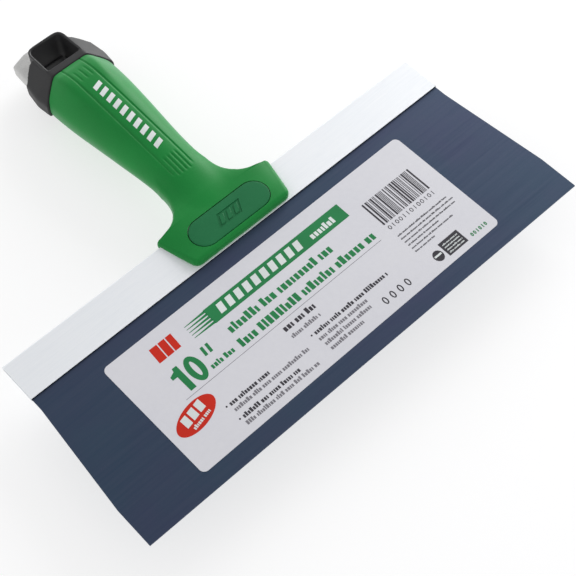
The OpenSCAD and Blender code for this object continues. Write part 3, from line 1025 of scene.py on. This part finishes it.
def label_print():
    green = Print("print_green", INK_GREEN)
    # solid band with tapering stripes at its left end
    green.shape([(BAND_L, BAND_TOP), (BAND_L, BAND_LOW), (BAND_R, BAND_LOW), (BAND_R, BAND_TOP)])
    step = (BAND_TOP - BAND_LOW) / STRIPES
    for i in range(STRIPES):
        y = BAND_LOW + (i + 0.5) * step
        green.shape([(STRIPES_L, y - 0.12), (BAND_L + 0.1, y - 0.62),
                     (BAND_L + 0.1, y + 0.62), (STRIPES_L, y + 0.12)])
    # the size: a one, a nought and an inch mark
    green.shape([(-67.8, -0.8), (-64.7, -0.8), (-64.7, 12.8), (-67.1, 12.8), (-67.5, 11.2),
                 (-70.3, 10.0), (-70.3, 8.2), (-67.8, 8.2)])
    green.ring(-59.3, 6.0, 3.9, 7.0, 2.7)
    for x in (-52.4, -49.6):
        green.bar(x, x + 1.5, 7.4, 12.2, 0.5)
    # two title lines, greeked
    green.words(-36.6, 25.4, 10.3, 4.6, 5)
    green.words(-37.8, 43.4, 1.9, 4.6, 8)
    green.words(-54.0, -40.2, 1.9, 2.9, 3)
    green.digits(74.6, 1.72, -28.9, 2.1, 0.46, (0, 0, 1, 0, 1, 0))
    green.done()

    # blocks on the band and on the badge
    white = Print("print_white", INK_WHITE, 1)
    for i in range(10):
        white.bar(-33.4 + 5.1 * i, -30.2 + 5.1 * i, 18.5, 23.7, 0.9)
    white.words(22.0, 38.6, 20.5, 3.6, 17)
    white.turn, white.pivot = BADGE_TURN, BADGE
    for i in range(3):
        x = BADGE[0] - 6.8 + 4.6 * i
        white.bar(x, x + 3.4, BADGE[1] - 0.9, BADGE[1] + 4.1, 0.8)
    white.words(BADGE[0] - 5.4, BADGE[0] + 6.0, BADGE[1] - 3.0, 1.9, 12)
    white.done()

    # three blocks beside the band, and the badge
    red = Print("print_red", INK_RED)
    for x0, x1 in ((-69.0, -64.8), (-64.2, -60.6), (-60.0, -56.8)):
        red.bar(x0, x1, 18.4, 26.6, 0.6)
    red.turn, red.pivot = BADGE_TURN, BADGE
    red.oval(*BADGE, 11.6, 5.9)
    red.done()

    # a rule under the titles, and the grey lines of greeked text: left end, right end, height
    grey = Print("print_grey", INK_GREY)
    grey.bar(-72.2, 44.0, -2.75, -2.55)
    lines = [(-60.4, -17.2, -20.2), (-60.8, -19.1, -28.3), (-11.4, 17.9, -20.3), (-11.0, 16.4, -23.7),
             (-10.7, 9.9, -27.0), (-19.1, -2.2, -11.2)]
    for i, (x0, x1, y) in enumerate(lines):
        grey.words(x0, x1, y, 2.1, 20 + i)
    grey.done()

    dark = Print("print_dark", INK_DARK)
    # a heading, three lines behind dots, and four noughts
    dark.words(-19.3, -0.3, -6.2, 3.2, 31)
    for i, (x0, x1, y) in enumerate([(-61.9, -37.6, -16.8), (-61.6, -26.7, -24.9), (-12.5, 33.7, -16.7)]):
        dark.words(x0 + 1.8, x1, y, 2.3, 32 + i)
        dark.oval(x0, y, 0.45, 0.45, 16)
    for x in (23.0, 27.6, 32.2, 36.8):
        dark.ring(x, -26.4, 1.2, 2.05, 0.62, 24)
    # bars of a plain, meaningless code
    rng = random.Random(11)
    x = CODE_L
    while x < CODE_R - 0.2:
        width = rng.choice((0.34, 0.34, 0.6, 0.9))
        dark.bar(x, min(x + width, CODE_R), CODE_LOW, CODE_TOP)
        x += width + rng.choice((0.34, 0.34, 0.6, 0.9))
    dark.digits(CODE_L, 2.3, -0.6, 2.3, 0.34, (0, 1, 0, 0, 1, 1, 0, 1, 0, 0, 1, 0, 1))
    # fine print, with a plain box and disc under it
    for i, x1 in enumerate((82.0, 84.0, 83.0, 70.0, 77.0, 63.0)):
        dark.words(50.6, x1, -6.4 - 2.25 * i, 0.9, 40 + i)
    dark.bar(60.2, 72.0, -30.0, -22.0)
    dark.oval(56.4, -26.4, 2.6, 3.0, 32)
    dark.done()

    pale = Print("print_pale", INK_WHITE, 1)
    for i in range(4):
        pale.words(61.4, 71.0, -23.8 - 1.6 * i, 0.8, 60 + i)
    pale.bar(54.4, 58.4, -26.6, -25.6)
    pale.done()


label_print()

# ---------------------------------------------------------------------------------------------
# Print on the grip: a row of plain slanted bars, laid on the surface
# ---------------------------------------------------------------------------------------------
BARS, BARS_FROM, BARS_TO, BAR_SHARE = 10, 31.0, 80.5, 0.56
BAR_X, BAR_HALF_W, BAR_SLANT = 0.4, 2.5, 0.35
BAR_ROWS, BAR_COLUMNS, BAR_PROUD, BAR_SUNK = 8, 12, 0.04, 0.1


def grip_print():
    tree = BVHTree.FromObject(grip, bpy.context.evaluated_depsgraph_get())
    down = Vector((0, -math.sin(LEAN), -math.cos(LEAN)))
    bm = bmesh.new()

    def surface(x, u, lift):
        hit = tree.ray_cast(Vector(in_handle(x, u, FAR)) * MM, down)[0]
        return (hit - down * lift * MM) / MM

    pitch = (BARS_TO - BARS_FROM) / BARS
    rows, columns = BAR_ROWS, BAR_COLUMNS
    for i in range(BARS):
        u0 = BARS_FROM + i * pitch
        u1 = u0 + pitch * BAR_SHARE
        grid = []
        for r in range(rows + 1):
            row = []
            for c in range(columns + 1):
                x = -BAR_HALF_W + 2 * BAR_HALF_W * c / columns
                row.append((x + BAR_X, u0 + (u1 - u0) * r / rows + BAR_SLANT * x))
            grid.append(row)
        top = [[bm.verts.new(surface(x, u, BAR_PROUD)) for x, u in row] for row in grid]
        low = [[bm.verts.new(surface(x, u, -BAR_SUNK)) for x, u in row] for row in grid]
        for r in range(rows):
            for c in range(columns):
                bm.faces.new((top[r][c], top[r][c + 1], top[r + 1][c + 1], top[r + 1][c]))
                bm.faces.new((low[r][c], low[r + 1][c], low[r + 1][c + 1], low[r][c + 1]))
        for c in range(columns):
            bm.faces.new((top[0][c], low[0][c], low[0][c + 1], top[0][c + 1]))
            bm.faces.new((top[rows][c], top[rows][c + 1], low[rows][c + 1], low[rows][c]))
        for r in range(rows):
            bm.faces.new((top[r][0], top[r + 1][0], low[r + 1][0], low[r][0]))
            bm.faces.new((top[r][columns], low[r][columns], low[r + 1][columns], top[r + 1][columns]))
    mesh_object("grip_stripe_print", bm, "grip_rubber", (), INK_WHITE, 40)


grip_print()

# ---------------------------------------------------------------------------------------------
# Floor, light and camera, in metres
# ---------------------------------------------------------------------------------------------
MIDDLE = (0.0, 0.12, 0.0)
FLOOR_HALF, FLOOR_BELOW = 6, 0.0005


def floor_material():
    m = Nodes("pale_floor")
    cloud = m.noise(1.2, detail=2)
    m.colour(m.ramp(cloud, [(NOISE_LOW, (0.42, 0.42, 0.42)), (NOISE_HIGH, (0.44, 0.44, 0.44))]))
    m.set(Roughness=0.9, Specular_IOR_Level=0.1, Emission_Color=(1, 1, 1, 1), Emission_Strength=0.64)
    return m.material


def build_floor():
    low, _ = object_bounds()
    bm = bmesh.new()
    bmesh.ops.create_grid(bm, x_segments=8, y_segments=8, size=FLOOR_HALF)
    mesh = bpy.data.meshes.new("floor")
    bm.to_mesh(mesh)
    bm.free()
    floor = bpy.data.objects.new("floor", mesh)
    floor.location = (MIDDLE[0], MIDDLE[1], low.z - FLOOR_BELOW)
    bpy.context.scene.collection.objects.link(floor)
    mesh.materials.append(floor_material())


def area(name, place, target, size, power):
    light = bpy.data.lights.new(name, "AREA")
    light.shape = "SQUARE"
    light.size = size
    light.energy = power
    obj = bpy.data.objects.new(name, light)
    bpy.context.scene.collection.objects.link(obj)
    obj.location = place
    obj.rotation_mode = "QUATERNION"
    obj.rotation_quaternion = (Vector(target) - Vector(place)).to_track_quat("-Z", "Y")


def build_world():
    """A soft studio: bright all round at the height of the object, darker overhead."""
    world = bpy.data.worlds.new("studio")
    bpy.context.scene.world = world
    world.use_nodes = True
    tree = world.node_tree
    background = tree.nodes["Background"]
    background.inputs["Strength"].default_value = 1.14
    sky = tree.nodes.new("ShaderNodeTexCoord")
    height = tree.nodes.new("ShaderNodeSeparateXYZ")
    fade = tree.nodes.new("ShaderNodeValToRGB")
    fade.color_ramp.elements[0].color = (1.1, 1.1, 1.1, 1.0)
    fade.color_ramp.elements[1].color = (0.3, 0.3, 0.31, 1.0)
    tree.links.new(sky.outputs["Generated"], height.inputs["Vector"])
    tree.links.new(height.outputs["Z"], fade.inputs["Fac"])
    tree.links.new(fade.outputs["Color"], background.inputs["Color"])


def build_camera():
    """The photo's camera, fitted to the corners of the blade, the bar and the label."""
    camera = bpy.data.cameras.new("camera")
    camera.sensor_width = 36.0
    camera.lens = 88.19
    camera.clip_start, camera.clip_end = 0.05, 50
    eye = bpy.data.objects.new("camera", camera)
    bpy.context.scene.collection.objects.link(eye)
    right = Vector((0.7361, -0.6763, -0.0263))
    back = Vector((-0.3300, -0.3926, 0.8585)).normalized()
    up = back.cross(right).normalized()
    right = up.cross(back)
    eye.rotation_mode = "QUATERNION"
    eye.rotation_quaternion = Matrix((right, up, back)).transposed().to_quaternion()
    eye.location = (-0.2116, -0.1945, 0.53575)
    bpy.context.scene.camera = eye


build_floor()
build_world()
area("key", (1.1, 0.62, 0.4), MIDDLE, 0.8, 12.0)
bpy.context.scene.view_settings.view_transform = "Standard"
bpy.context.scene.view_settings.look = "None"
build_camera()
